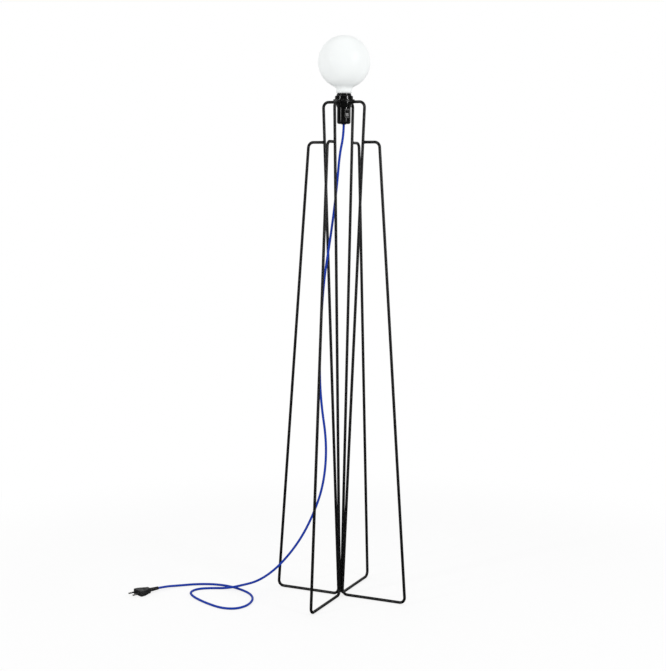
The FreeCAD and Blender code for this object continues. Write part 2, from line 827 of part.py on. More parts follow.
def make_leads():
    free = size("grip_top") + 2 * size("lead_radius")
    terminal = size("block_foot") - size("terminal_length")
    offset = -size("terminal_offset")
    cores = []
    for sign in (-1, 1):
        near = sign * size("lead_spread")
        far = sign * size("terminal_spread")
        route = [(0, near, size("lead_foot")), (0, near, free), (offset, far, (free + terminal) / 2),
                 (offset, far, terminal)]
        cores.append(make_tube(route, size("lead_radius"))[0])
    add_shape("inner_leads", Part.makeCompound(cores), seat_place(size("switch_angle")))


make_leads()


def make_cord():
    tube, length, radii, share = make_tube(CORD_ROUTE, size("cord_diameter") / 2)
    print("cord length %.0f, volume share %.4f" % (length, share))
    print("cord radii", " ".join("%.0f" % radius for radius in radii))
    add_shape("cord", tube)


make_cord()


# Bulb: a thin glass globe with a coved neck and a tail that is cemented into the screw cap, a glass
# stem that closes the tail, a filament on it, and the cap's insulator and contact button.

def make_globe():
    body = new_body("bulb_globe")

    def round_part(kind, name, radius, foot, height=None):
        feature = body.newObject("PartDesign::" + kind, name)
        feature.setExpression("Radius", formula(radius))
        feature.setExpression("Placement.Base.z", formula(foot))
        if height:
            feature.setExpression("Height", formula(height))

    round_part("AdditiveSphere", "ball", "globe_diameter / 2", "globe_level")
    round_part("AdditiveCylinder", "neck", "neck_radius", "neck_foot", "globe_rise")
    meeting = size("globe_level") - math.sqrt((size("globe_diameter") / 2) ** 2 - size("neck_radius") ** 2)
    round_edges(body, "cove", edges_where(body, circle_at(size("neck_radius"), meeting)), "neck_cove")
    foot_circle = circle_at(size("neck_radius"), size("neck_foot"))
    round_edges(body, "foot_edge", edges_where(body, foot_circle), "neck_rounding")
    round_part("AdditiveCylinder", "tail", "tail_radius", "tail_foot", "tail_length + glass_wall")
    round_part("SubtractiveSphere", "hollow", "globe_diameter / 2 - glass_wall", "globe_level")
    throat = "neck_radius - neck_rounding"
    round_part("SubtractiveCylinder", "throat", throat, "neck_foot + glass_wall", "globe_rise - glass_wall")
    bore = "tail_radius - glass_wall"
    round_part("SubtractiveCylinder", "bore", bore, "tail_foot - overrun", "tail_length + 2 * overrun + glass_wall")
    seat(body)


def make_screw_cap():
    body = new_body("bulb_cap")
    inside = "screw_cap_radius - screw_cap_wall"
    floor = "screw_cap_foot + screw_cap_wall"
    bevel = "screw_cap_foot + screw_cap_bevel"
    lathe(body, "shell", [
        ("insulator_tip_radius", "screw_cap_foot"), ("screw_cap_radius - screw_cap_bevel", "screw_cap_foot"),
        ("screw_cap_radius", bevel), ("screw_cap_radius", "neck_foot"), (inside, "neck_foot"),
        (inside, bevel), (inside + " - screw_cap_bevel + screw_cap_wall", floor),
        ("insulator_tip_radius", floor)])
    seat(body)


def make_bulb_foot():
    insulator = new_body("bulb_insulator")
    lathe(insulator, "cone", [
        ("0", "insulator_foot"), ("insulator_tip_radius", "insulator_foot"),
        ("screw_cap_radius - screw_cap_bevel", "screw_cap_foot"), ("0", "screw_cap_foot")])
    seat(insulator)
    button = new_body("bulb_contact")
    outline, _ = lathe(button, "button", [
        ("0", "bulb_tip"), ("button_radius", "bulb_tip"), ("button_radius", "insulator_foot"),
        ("0", "insulator_foot")])
    round_turned(button, "button_edge", outline, 1, "button_height / 2")
    seat(button)


def make_mount():
    stem = new_body("bulb_stem")
    rim = "tail_radius - glass_wall"
    lathe(stem, "stem", [
        ("0", "tail_foot"), (rim, "tail_foot"), (rim, "tail_foot + flare_thickness"),
        ("stem_radius", "tail_foot + 2 * flare_thickness"), ("stem_radius", "stem_top"), ("0", "stem_top")])
    seat(stem)
    wide = size("support_spread")
    near = size("stem_radius") / 2
    low = size("stem_top")
    high = low + size("support_length")
    middle = (low + high) / 2
    neck = (low + middle) / 2
    route = [(-near, 0, low), (-near, 0, neck), (-wide, 0, middle), (-wide, 0, high),
             (0, 0, high + wide / 2), (wide, 0, high), (wide, 0, middle), (near, 0, neck), (near, 0, low)]
    add_shape("bulb_filament", make_tube(route, size("support_radius"))[0], seat_place())


make_globe()
make_screw_cap()
make_bulb_foot()
make_mount()


# Plug: a flat two-pin plug that lies on the floor. Its own frame has the pins along +X, the
# mating face at zero and the floor below it.

def plug_place():
    end = FreeCAD.Vector(*CORD_ROUTE[-1])
    before = FreeCAD.Vector(*CORD_ROUTE[-2])
    heading = end - before
    turn = math.degrees(math.atan2(heading.y, heading.x))
    rotation = FreeCAD.Rotation(UP, turn)
    back = FreeCAD.Vector(-size("plug_length"), 0, size("plug_thickness") / 2)
    return FreeCAD.Placement(end - rotation.multVec(back), rotation)


def make_plug():
    place = plug_place()
    body = new_body("plug_body")
    plan = new_sketch(body, "plan", "XY_Plane")
    draw_polygon(plan, [
        ("0", "plug_width / 2"), ("0 - plug_square_length", "plug_width / 2"),
        ("0 - plug_shoulder_length", "plug_waist / 2"), ("0 - plug_length", "plug_tail / 2"),
        ("0 - plug_length", "0 - plug_tail / 2"), ("0 - plug_shoulder_length", "0 - plug_waist / 2"),
        ("0 - plug_square_length", "0 - plug_width / 2"), ("0", "0 - plug_width / 2")])
    pad(body, "slab", plan, "plug_thickness")
    round_edges(body, "edges", edges_where(body, lambda edge: True), "plug_rounding")
    body.Placement = place

    relief = new_body("plug_relief")
    step = "relief_groove_pitch"
    bore = "cord_diameter / 2"
    lathe(relief, "boot", [(bore, "0"), ("relief_root_radius", "0"), ("relief_tip_radius", "relief_length"),
                           (bore, "relief_length")])
    doc.recompute()
    grooves = int(size("relief_length") / size("relief_groove_pitch")) - 1
    for number in range(grooves):
        low = "(%s * %d)" % (step, number + 1)
        share = "(%s / relief_length)" % low
        rim = "(relief_root_radius + (relief_tip_radius - relief_root_radius) * %s)" % share
        lathe(relief, "groove%d" % number, [
            (rim + " - relief_groove_depth", low), (rim + " + overrun", low),
            (rim + " + overrun", low + " + relief_groove_width"),
            (rim + " - relief_groove_depth", low + " + relief_groove_width")], "PartDesign::Groove")
    backwards = FreeCAD.Placement(FreeCAD.Vector(-size("plug_length"), 0, size("plug_thickness") / 2),
                                  FreeCAD.Rotation(FreeCAD.Vector(0, 1, 0), -90.0))
    relief.Placement = place.multiply(backwards)

    pins = []
    for sign in (-1, 1):
        foot = FreeCAD.Vector(0, sign * size("plug_pin_spacing") / 2, size("plug_thickness") / 2)
        pin = Part.makeCylinder(size("plug_pin_radius"), size("plug_pin_length"), foot, FreeCAD.Vector(1, 0, 0))
        tips = [edge for edge in pin.Edges if isinstance(edge.Curve, Part.Circle)
                and edge.Curve.Center.x > size("plug_pin_length") / 2]
        pins.append(pin.makeFillet(size("plug_pin_rounding"), tips))
    add_shape("plug_pins", Part.makeCompound(pins), place)


make_plug()


doc.recompute()
failed = [item.Name for item in doc.Objects if "Invalid" in item.State or "Error" in item.State]
if failed:
    raise ValueError("failed: " + ", ".join(failed))
for piece in parts:
    if piece.Shape.isNull() or not piece.Shape.isValid():
        raise ValueError("bad shape: " + piece.Label)

os.makedirs("parts", exist_ok=True)
for piece in parts:
    piece.Shape.exportStep("parts/%s.step" % piece.Label)
print("%d parts written" % len(parts))
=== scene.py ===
import math

import bmesh
import bpy
from mathutils import Matrix, Vector


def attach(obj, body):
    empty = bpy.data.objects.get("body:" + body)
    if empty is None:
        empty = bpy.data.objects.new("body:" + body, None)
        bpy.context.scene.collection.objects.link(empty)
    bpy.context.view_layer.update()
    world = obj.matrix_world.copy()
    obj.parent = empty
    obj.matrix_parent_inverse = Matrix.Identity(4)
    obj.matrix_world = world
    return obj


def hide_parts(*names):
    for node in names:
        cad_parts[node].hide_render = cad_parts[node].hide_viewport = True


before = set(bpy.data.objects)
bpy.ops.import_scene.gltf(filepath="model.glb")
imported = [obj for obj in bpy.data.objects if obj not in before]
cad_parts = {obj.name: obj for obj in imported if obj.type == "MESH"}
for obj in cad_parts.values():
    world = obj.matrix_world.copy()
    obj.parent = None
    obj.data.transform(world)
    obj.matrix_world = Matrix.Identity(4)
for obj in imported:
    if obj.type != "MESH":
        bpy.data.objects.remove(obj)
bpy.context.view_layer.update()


# Camera: it stands 3.2 m in front of the lamp and a little to the right of the front wing, at the
# height of the lamp's upper third, and looks down at it by about seven degrees.

eye = bpy.data.cameras.new("photo_camera")
eye.sensor_fit = "VERTICAL"
eye.sensor_height = 36.0
eye.lens = 71.5574
camera = bpy.data.objects.new("photo_camera", eye)
camera.location = (1.31204994, -2.9449581, 1.03100474)
camera.rotation_euler = [math.radians(turn) for turn in (83.279883, -0.356272, 24.457099)]
bpy.context.scene.collection.objects.link(camera)
bpy.context.scene.camera = camera


# Cord: a round flex of 5.8 mm in a braided blue textile sleeve. It hangs from the cap's floor
# through the frame, lands outside the left wing and makes one loose loop on the floor. The braid is
# two sets of twelve yarn bundles that wind opposite ways and pass over and under by twos.

CORD_RADIUS = 0.0029
CORD_SIDES = 20
CORD_STEPS = 12
CORD_ROUTE = [
    (0.0, 0.0, 1.1655), (0.0, 0.0, 1.134), (-0.005, -0.012, 1.088), (-0.006, -0.021, 1.027),
    (-0.010, -0.031, 0.954), (-0.016, -0.042, 0.877), (-0.025, -0.051, 0.799), (-0.029, -0.057, 0.719),
    (-0.031, -0.060, 0.639), (-0.033, -0.059, 0.559), (-0.029, -0.055, 0.481), (-0.020, -0.048, 0.407),
    (-0.022, -0.043, 0.338), (-0.033, -0.042, 0.272), (-0.054, -0.045, 0.212), (-0.081, -0.049, 0.155),
    (-0.114, -0.056, 0.105), (-0.151, -0.066, 0.062), (-0.191, -0.078, 0.032), (-0.234, -0.083, 0.017),
    (-0.277, -0.080, 0.0029), (-0.314, -0.096, 0.0029), (-0.342, -0.116, 0.0029),
    (-0.346, -0.148, 0.0029), (-0.322, -0.174, 0.0029), (-0.289, -0.194, 0.0029),
    (-0.252, -0.211, 0.0029), (-0.214, -0.223, 0.0029), (-0.182, -0.215, 0.0029),
    (-0.168, -0.188, 0.0029), (-0.169, -0.156, 0.0029), (-0.180, -0.124, 0.0029),
    (-0.203, -0.095, 0.0029), (-0.238, -0.075, 0.0029), (-0.278, -0.062, 0.0029),
    (-0.323, -0.064, 0.0029), (-0.364, -0.083, 0.0029), (-0.397, -0.112, 0.0029),
    (-0.421, -0.148, 0.00685), (-0.439, -0.187, 0.00685),
]


def spline_line(name, places, steps):
    """The points of the smooth line that the route's places steer."""
    line = bpy.data.curves.new(name, "CURVE")
    line.dimensions = "3D"
    line.resolution_u = steps
    spline = line.splines.new("NURBS")
    spline.points.add(len(places) - 1)
    for point, place in zip(spline.points, places):
        point.co = (*place, 1.0)
    spline.order_u = 3
    spline.use_endpoint_u = True
    guide = bpy.data.objects.new(name, line)
    drawn = bpy.data.meshes.new_from_object(guide)
    points = [vertex.co.copy() for vertex in drawn.vertices]
    bpy.data.objects.remove(guide)
    bpy.data.curves.remove(line)
    bpy.data.meshes.remove(drawn)
    return points


def sleeve_along(name, points, radius, sides):
    """A closed tube round a line. Its map runs along and round in units of the girth."""
    heading = (points[1] - points[0]).normalized()
    side = heading.orthogonal().normalized()
    corners = []
    travel = [0.0]
    for number, point in enumerate(points):
        before = points[max(number - 1, 0)]
        after = points[min(number + 1, len(points) - 1)]
        new_heading = (after - before).normalized()
        side = heading.rotation_difference(new_heading) @ side
        side = (side - new_heading * side.dot(new_heading)).normalized()
        heading = new_heading
        across = heading.cross(side)
        for step in range(sides):
            turn = math.tau * step / sides
            corners.append(point + (side * math.cos(turn) + across * math.sin(turn)) * radius)
        if number:
            travel.append(travel[-1] + (point - before).length)
    faces = []
    maps = []
    girth = math.tau * radius
    for ring in range(len(points) - 1):
        low = travel[ring] / girth
        high = travel[ring + 1] / girth
        for step in range(sides):
            other = (step + 1) % sides
            base = ring * sides
            faces.append((base + step, base + other, base + sides + other, base + sides + step))
            left = step / sides
            right = (step + 1) / sides
            maps += [(low, left), (low, right), (high, right), (high, left)]
    last = (len(points) - 1) * sides
    faces += [tuple(reversed(range(sides))), tuple(range(last, last + sides))]
    maps += [(0.0, 0.0)] * sides + [(travel[-1] / girth, 0.0)] * sides
    mesh = bpy.data.meshes.new(name)
    mesh.from_pydata(corners, [], faces)
    sheet = mesh.uv_layers.new(name="UVMap")
    sheet.data.foreach_set("uv", [number for spot in maps for number in spot])
    for face in mesh.polygons:
        face.use_smooth = face.loop_total == 4
    piece = bpy.data.objects.new(name, mesh)
    bpy.context.scene.collection.objects.link(piece)
    return piece


class Shade:
    """A socket among a finish's nodes. Sums and products of shades add the Math nodes for them."""

    def __init__(self, tree, socket=None):
        self.tree = tree
        self.socket = socket

    def node(self, kind, settings=(), sockets=(), out=None):
        """Adds a node, its settings first, and gives its first output in use or the one named."""
        made = self.tree.nodes.new(kind)
        for name, setting in dict(settings).items():
            setattr(made, name, setting)
        for name, value in dict(sockets).items():
            if isinstance(name, int):
                entry = made.inputs[name]
            else:
                entry = next(one for one in made.inputs if one.enabled and one.name == name)
            if isinstance(value, Shade):
                self.tree.links.new(value.socket, entry)
            else:
                entry.default_value = value
        source = next(one for one in made.outputs if one.enabled and out in (None, one.name))
        return Shade(self.tree, source)

    def maths(self, operation, *values):
        """A Math node on these shades and numbers."""
        return self.node("ShaderNodeMath", {"operation": operation}, dict(enumerate(values)))

    def __add__(self, other):
        return self.maths("ADD", self, other)

    def __sub__(self, other):
        return self.maths("SUBTRACT", self, other)

    def __rsub__(self, other):
        return self.maths("SUBTRACT", other, self)

    def __mul__(self, other):
        return self.maths("MULTIPLY", self, other)

    def __lt__(self, other):
        return self.maths("LESS_THAN", self, other)

    __radd__ = __add__
    __rmul__ = __mul__

    def blend(self, low, high):
        """Two colours mixed by this shade."""
        return self.node("ShaderNodeMix", {"data_type": "RGBA"}, {"Factor": self, "A": low, "B": high})

    def relief(self, distance, strength=1.0):
        """The surface normal that this shade raises, as a height of at most the distance."""
        return self.node("ShaderNodeBump", {},
                         {"Height": self, "Distance": distance, "Strength": strength})


def new_finish(name, coordinates="Object"):
    """A material, and the places on its piece that its pattern follows."""
    material = bpy.data.materials.new(name)
    material.use_nodes = True
    return material, Shade(material.node_tree).node("ShaderNodeTexCoord", out=coordinates)


def cloudy(places, scale, detail):
    """A soft random pattern of about so many waves in a unit's length."""
    return places.node("ShaderNodeTexNoise", {}, {"Vector": places, "Scale": scale, "Detail": detail})


def dress(material, sockets):
    """Sets or links the sockets of the material's surface."""
    surface = material.node_tree.nodes["Principled BSDF"]
    for name, value in sockets.items():
        if isinstance(value, Shade):
            material.node_tree.links.new(value.socket, surface.inputs[name])
        else:
            surface.inputs[name].default_value = value


def paint_node(name, material):
    """Gives a piece of the frame a finish of its own."""
    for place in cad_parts[name].material_slots:
        place.material = material


def put_on(piece, material, body, slot, *nodes):
    """A finished piece: its finish, the body it moves with, and the frame's pieces it stands for."""
    piece.data.materials.clear()
    piece.data.materials.append(material)
    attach(piece, body)
    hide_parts(*nodes)


YARN_BLUE = (0.006, 0.052, 0.50, 1.0)
YARN_SHADOW = (0.001, 0.010, 0.14, 1.0)
YARN_BUNDLES = 12
YARN_FLOAT = 2.0
YARN_DEPTH = 0.0003

braid, mapped = new_finish("blue_braid", "UV")
along = mapped.node("ShaderNodeSeparateXYZ", {}, {"Vector": mapped}, "X")
around = mapped.node("ShaderNodeSeparateXYZ", {}, {"Vector": mapped}, "Y")
one_way = (around + along) * YARN_BUNDLES
other_way = (around - along) * YARN_BUNDLES
crossing = mapped.maths("FLOOR", one_way) + mapped.maths("FLOOR", other_way)
on_top = mapped.maths("FLOORED_MODULO", crossing, 2 * YARN_FLOAT) < YARN_FLOAT
one_crown = 1.0 - mapped.maths("ABSOLUTE", mapped.maths("FRACT", one_way) * 2.0 - 1.0)
other_crown = 1.0 - mapped.maths("ABSOLUTE", mapped.maths("FRACT", other_way) * 2.0 - 1.0)
crown = mapped.maths("SQRT", on_top * one_crown + (1.0 - on_top) * other_crown)
fuzz = cloudy(mapped, 90.0, 2.0)
dress(braid, {
    "Base Color": (crown * 0.8 + fuzz * 0.3).blend(YARN_SHADOW, YARN_BLUE),
    "Roughness": 0.62,
    "Specular IOR Level": 0.15,
    "Sheen Weight": 0.05,
    "Normal": (crown + fuzz * 0.15).relief(YARN_DEPTH, 0.8),
})

cord_points = spline_line("cord_line", CORD_ROUTE, CORD_STEPS)
cord = sleeve_along("cord_sleeve", cord_points, CORD_RADIUS, CORD_SIDES)
put_on(cord, braid, "lamp", "cord", "cord")


# Wings: each is one length of 7 mm round steel wire, bent cold round four corners and powder-coated
# satin black after welding. One end butts on the carrier ring, the other on the wire's own inner
# run, each with a small swelling of weld. Four equal wings stand square to each other.

WIRE = 0.007
WIRE_SIDES = 32
BEND = 0.013
BEND_STEPS = 14
RING_REACH = 0.0246
BAR_REACH = 0.054
BAR_HEIGHT = 1.212
FOOT_REACH = 0.172
SHOULDER_REACH = 0.0925
SHOULDER_HEIGHT = 1.117
BUNDLE_GAP = 0.0002
SHOULDER_GAP = 0.0003
BUNDLE_REACH = (WIRE + BUNDLE_GAP) / math.sqrt(2)
INNER_LEAN = (BAR_REACH - BUNDLE_REACH) / (BAR_HEIGHT - WIRE / 2)
BAR_END = BUNDLE_REACH + (SHOULDER_HEIGHT - WIRE / 2) * INNER_LEAN + WIRE / 2 + SHOULDER_GAP
WELD = 0.0040
RING_WELD = ((0.0008, WELD), (0.0016, 0.00385), (0.0024, WIRE / 2))
SHOULDER_WELD = ((0.0032, WIRE / 2), (0.0016, 0.00385), (0.0, WELD), (-0.0016, 0.0038),
                 (-0.0030, 0.0030))

coat, where = new_finish("satin_black_coat")
peel = cloudy(where, 1300.0, 2.0)
cloud = cloudy(where, 22.0, 3.0)
dress(coat, {
    "Base Color": cloud.blend((0.002, 0.002, 0.002, 1.0), (0.005, 0.005, 0.005, 1.0)),
    "Roughness": cloud * 0.14 + peel * 0.08 + 0.25,
    "Specular IOR Level": 0.40,
    "Normal": peel.relief(0.00006, 0.6),
})


def begin(name):
    """Names the primitive just added, fixes its place and opens it for editing."""
    piece = bpy.context.object
    piece.name = piece.data.name = name
    bpy.ops.object.transform_apply(location=True, rotation=True, scale=True)
    bpy.ops.object.mode_set(mode="EDIT")
    bpy.ops.mesh.select_mode(type="VERT")
    bpy.ops.mesh.select_all(action="SELECT")
    return piece


def draw_out(offset, share=1.0, middle=(0.0, 0.0, 0.0)):
    """Pulls what is selected out by the offset and resizes it about a middle, in the level plane."""
    bpy.ops.mesh.extrude_region_move(TRANSFORM_OT_translate={"value": offset})
    if share != 1.0:
        bpy.ops.transform.resize(value=(share, share, 1.0), center_override=middle)


def draw_weld(place, weld, here, thick):
    """Draws a wire's end on through a weld, whose rings are so far past the place and so thick."""
    for past, radius in weld:
        spot = place + Vector((past, 0.0, 0.0))
        draw_out(spot - here)
        bpy.ops.transform.resize(value=(1.0, radius / thick, radius / thick), center_override=spot)
        here, thick = spot, radius
    return here


def close_up(angle=35.0):
    """Ends the editing with every face turned outwards and all but sharp edges smooth."""
    bpy.ops.mesh.select_all(action="SELECT")
    bpy.ops.mesh.remove_doubles(threshold=0.000001)
    bpy.ops.mesh.normals_make_consistent(inside=False)
    bpy.ops.object.mode_set(mode="OBJECT")
    bpy.ops.object.shade_smooth_by_angle(angle=math.radians(angle))


bpy.ops.object.select_all(action="DESELECT")
bpy.ops.mesh.primitive_circle_add(vertices=WIRE_SIDES, radius=WELD, fill_type="NGON",
                                  rotation=(0.0, math.pi / 2, 0.0),
                                  location=(RING_REACH, 0.0, BAR_HEIGHT))
wing = begin("wire_wing_right")
spots = [Vector((across, 0.0, up)) for across, up in (
    (RING_REACH, BAR_HEIGHT), (BAR_REACH, BAR_HEIGHT), (BUNDLE_REACH, WIRE / 2), (FOOT_REACH, WIRE / 2),
    (SHOULDER_REACH, SHOULDER_HEIGHT), (BAR_END, SHOULDER_HEIGHT))]
here = draw_weld(spots[0], RING_WELD, spots[0], WELD)
for before, corner, after in zip(spots, spots[1:], spots[2:]):
    into = (before - corner).normalized()
    out = (after - corner).normalized()
    half = into.angle(out) / 2
    bend_middle = corner + (into + out).normalized() * (BEND / math.sin(half))
    draw_out(corner + into * (BEND / math.tan(half)) - here)
    bpy.ops.mesh.spin(steps=BEND_STEPS, angle=math.pi - 2 * half, center=bend_middle,
                      axis=out.cross(-into).normalized())
    here = corner + out * (BEND / math.tan(half))
draw_weld(spots[-1], SHOULDER_WELD, here, WIRE / 2)
close_up(60.0)

wings = [wing]
for quarter, name in ((1, "wire_wing_back"), (2, "wire_wing_left"), (3, "wire_wing_front")):
    bpy.ops.object.select_all(action="DESELECT")
    wing.select_set(True)
    bpy.context.view_layer.objects.active = wing
    bpy.ops.object.duplicate()
    copy = bpy.context.object
    copy.name = copy.data.name = name
    copy.rotation_euler = (0.0, 0.0, quarter * math.pi / 2)
    bpy.ops.object.transform_apply(location=True, rotation=True, scale=True)
    wings.append(copy)
for piece in wings:
    put_on(piece, coat, "lamp", "wire", piece.name.replace("wire_wing", "wing"))


# Base weld and carrier ring: a nugget of weld fills the middle of the four inner wires just above
# the floor, and a flat steel ring takes the four wire ends on its rim. Both are coated with the
# wings, and their shapes come from the frame as they are.

paint_node("base_weld", coat)
paint_node("carrier_ring", coat)


# Lampholder sleeve: black moulded thermoset, glossy. The thread for the shade rings runs up to the
# nose, whose flared mouth takes the bulb, and below the thread it tapers to the cap.

SEAT = 1.2155
SLEEVE_BORE = 0.0142
MOUTH = 0.0156
MOUTH_FOOT = 0.0110
MOUTH_TOP = 0.0160
NOSE = 0.0168
NOSE_FOOT = 0.0115
THREAD_CREST = 0.0193
THREAD_DEPTH = 0.0004
THREAD_PITCH = 0.0025
THREAD_TOP = 0.0112
THREAD_FOOT = -0.0095
THREAD_FADE = 0.5
THREAD_STEPS = 16
RUNOUT = -0.0094
TAPER = 0.0191
TAPER_TOP = -0.0098
SLEEVE_END = 0.0169
SLEEVE_FOOT = -0.0165
SOCKET = 0.0152
SOCKET_TOP = -0.0106
MOULD_EDGE = 0.0003

gloss, where = new_finish("glossy_black_moulding")
smudge = cloudy(where, 55.0, 4.0)
pores = cloudy(where, 1500.0, 1.0)
dress(gloss, {
    "Base Color": smudge.blend((0.0015, 0.0015, 0.0015, 1.0), (0.004, 0.004, 0.004, 1.0)),
    "Roughness": smudge * 0.10 + 0.07,
    "Specular IOR Level": 0.40,
    "Normal": (smudge * 0.6 + pores * 0.1).relief(0.00005, 0.25),
})


def rounded(outline, steps=5):
    """The outline's radii and heights, with the points of an arc where a corner names a rounding."""
    spots = []
    for number, corner in enumerate(outline):
        here = Vector(corner[:2])
        if len(corner) == 2:
            spots.append(tuple(here))
            continue
        into = (Vector(outline[number - 1][:2]) - here).normalized()
        out = (Vector(outline[(number + 1) % len(outline)][:2]) - here).normalized()
        half = into.angle(out) / 2
        middle = here + (into + out).normalized() * (corner[2] / math.sin(half))
        start = here + into * (corner[2] / math.tan(half)) - middle
        end = here + out * (corner[2] / math.tan(half)) - middle
        turn = math.atan2(start.x * end.y - start.y * end.x, start.dot(end))
        spots += [tuple(middle + Matrix.Rotation(turn * step / steps, 2) @ start)
                  for step in range(steps + 1)]
    return spots


def thread(middle_radius, depth, pitch, start, end):
    """Rings of a rolled thread from one height to another. Each is a plain circle a little beside the
    axis, and its middle goes round from ring to ring. It leaves the axis in the first half turn and
    comes back to it in the last."""
    turns = (end - start) / pitch
    count = round(abs(turns) * THREAD_STEPS)
    rings = []
    for number in range(count + 1):
        turn = turns * number / count
        share = min(1.0, abs(turn) / THREAD_FADE, abs(turns - turn) / THREAD_FADE)
        beside = depth * math.sin(share * math.pi / 2)
        height = start + (end - start) * number / count
        angle = math.tau * height / pitch
        rings.append((middle_radius, height, beside * math.cos(angle), beside * math.sin(angle)))
    return rings


def turned(name, rings, sides=96):
    """A hollow piece turned about the lamp's axis: a ring of points is drawn from height to height
    above the seat and resized, and the last ring joins the first."""
    rings = [(*ring, 0.0, 0.0)[:4] for ring in rings]
    radius, height, across, deep = rings[0]
    bpy.ops.object.select_all(action="DESELECT")
    bpy.ops.mesh.primitive_circle_add(vertices=sides, radius=radius, fill_type="NOTHING",
                                      location=(across, deep, SEAT + height))
    piece = begin(name)
    for before, now in zip(rings, rings[1:]):
        step = (now[2] - before[2], now[3] - before[3], now[1] - before[1])
        draw_out(step, now[0] / before[0], (now[2], now[3], SEAT + now[1]))
    bpy.ops.mesh.select_all(action="DESELECT")
    bpy.ops.mesh.select_non_manifold()
    bpy.ops.mesh.bridge_edge_loops()
    return piece


nose = rounded([(SLEEVE_BORE, MOUTH_FOOT), (MOUTH, MOUTH_TOP, MOULD_EDGE), (NOSE, MOUTH_TOP, 0.0011),
                (THREAD_CREST, NOSE_FOOT, 0.0022)])
winding = thread(THREAD_CREST - THREAD_DEPTH, THREAD_DEPTH, THREAD_PITCH, THREAD_TOP, THREAD_FOOT)
taper = rounded([(THREAD_CREST - THREAD_DEPTH, RUNOUT), (TAPER, TAPER_TOP, MOULD_EDGE),
                 (SLEEVE_END, SLEEVE_FOOT, 0.0004), (SOCKET, SLEEVE_FOOT), (SOCKET, SOCKET_TOP),
                 (SLEEVE_BORE, SOCKET_TOP)])
sleeve = turned("threaded_sleeve", nose + winding + taper)
close_up()
put_on(sleeve, gloss, "lamp", "holder", "holder_sleeve")


# Shade rings: two black moulded rings on the sleeve's thread clamp the carrier ring between them.
# The upper one has a wide flange and a collar, the lower one is a plain nut, and both have thirty
# grip flutes round their walls.

RING_BORE = 0.01945
FLANGE = 0.0261
FLANGE_TOP = 0.0025
COLLAR = 0.0213
COLLAR_TOP = 0.0112
NUT = 0.0228
NUT_FOOT = -0.0086
NUT_TOP = -0.0040
COLLAR_FLUTES = (0.0030, 0.0096)
NUT_FLUTES = (-0.0076, -0.0043)
FLUTED_SIDES = 120
FLUTE_EDGE = 0.00035
FLUTE_DEPTH = 0.0004


def choose(piece, kind, wanted):
    """Selects only those faces or edges of the piece in hand that pass the test."""
    bpy.ops.mesh.select_mode(type=kind)
    bpy.ops.mesh.select_all(action="DESELECT")
    mesh = bmesh.from_edit_mesh(piece.data)
    for part in mesh.faces if kind == "FACE" else mesh.edges:
        part.select_set(wanted(part))
    bmesh.update_edit_mesh(piece.data)


def cut_flutes(piece, radius, low, high):
    """Sinks every other pair of the wall's faces into a shallow flute."""
    def in_flute(face):
        middle = face.calc_center_median()
        spot = math.hypot(middle.x, middle.y)
        place = math.floor(math.atan2(middle.y, middle.x) / math.tau * FLUTED_SIDES) % 4
        return place < 2 and abs(spot - radius) < 0.0001 and low < middle.z - SEAT < high

    choose(piece, "FACE", in_flute)
    bpy.ops.mesh.inset(thickness=FLUTE_EDGE, depth=-FLUTE_DEPTH)


upper_ring = turned("upper_shade_ring", rounded([
    (RING_BORE, 0.0), (FLANGE, 0.0, MOULD_EDGE), (FLANGE, FLANGE_TOP, 0.0010),
    (COLLAR, FLANGE_TOP, 0.0004), (COLLAR, COLLAR_TOP, 0.0016), (RING_BORE, COLLAR_TOP)]), FLUTED_SIDES)
cut_flutes(upper_ring, COLLAR, *COLLAR_FLUTES)
close_up()
put_on(upper_ring, gloss, "lamp", "holder", "shade_ring_upper")

lower_ring = turned("lower_shade_ring", rounded([
    (RING_BORE, NUT_FOOT), (NUT, NUT_FOOT, 0.0010), (NUT, NUT_TOP, MOULD_EDGE), (RING_BORE, NUT_TOP)]),
    FLUTED_SIDES)
cut_flutes(lower_ring, NUT, *NUT_FLUTES)
close_up()
put_on(lower_ring, gloss, "lamp", "holder", "shade_ring_lower")


# Lampholder cap: a deep glossy cup with a rounded floor. Its spigot is pushed into the sleeve, and
# a window in its side takes the switch.

SWITCH_ANGLE = math.radians(-40.0)
SWITCH_HEIGHT = SEAT - 0.03125
FRAME_WIDTH = 0.0125
FRAME_HEIGHT = 0.0220
PLAY = 0.0001
WINDOW_BACK = 0.008
WINDOW_FRONT = 0.020
SPIGOT = SOCKET - PLAY
SPIGOT_TOP = SOCKET_TOP - PLAY
CAP = 0.0164
CAP_BORE = 0.0130
CAP_STEP = -0.0197
CAP_FOOT = -0.0555
CAP_FLOOR = -0.0533
GRIP_HOLE = 0.0050

cap = turned("lampholder_cap", rounded([
    (SLEEVE_BORE, SPIGOT_TOP), (SPIGOT, SPIGOT_TOP, MOULD_EDGE), (SPIGOT, SLEEVE_FOOT),
    (CAP, SLEEVE_FOOT, MOULD_EDGE), (CAP, CAP_FOOT, 0.0050), (GRIP_HOLE, CAP_FOOT),
    (GRIP_HOLE, CAP_FLOOR), (CAP_BORE, CAP_FLOOR, 0.0028), (CAP_BORE, CAP_STEP),
    (SLEEVE_BORE, CAP_STEP)], steps=8))
close_up()


def add_box(low, high):
    """A box between two corners, ready to be named and shaped."""
    size = [far - near for near, far in zip(low, high)]
    middle = [(far + near) / 2 for near, far in zip(low, high)]
    bpy.ops.object.select_all(action="DESELECT")
    bpy.ops.mesh.primitive_cube_add(size=1.0, location=middle, scale=size)


def swing_to_switch(piece):
    """Turns a piece modelled towards +X round the lamp's axis to where the switch is."""
    piece.rotation_euler = (0.0, 0.0, SWITCH_ANGLE)
    bpy.ops.object.transform_apply(location=True, rotation=True, scale=True)


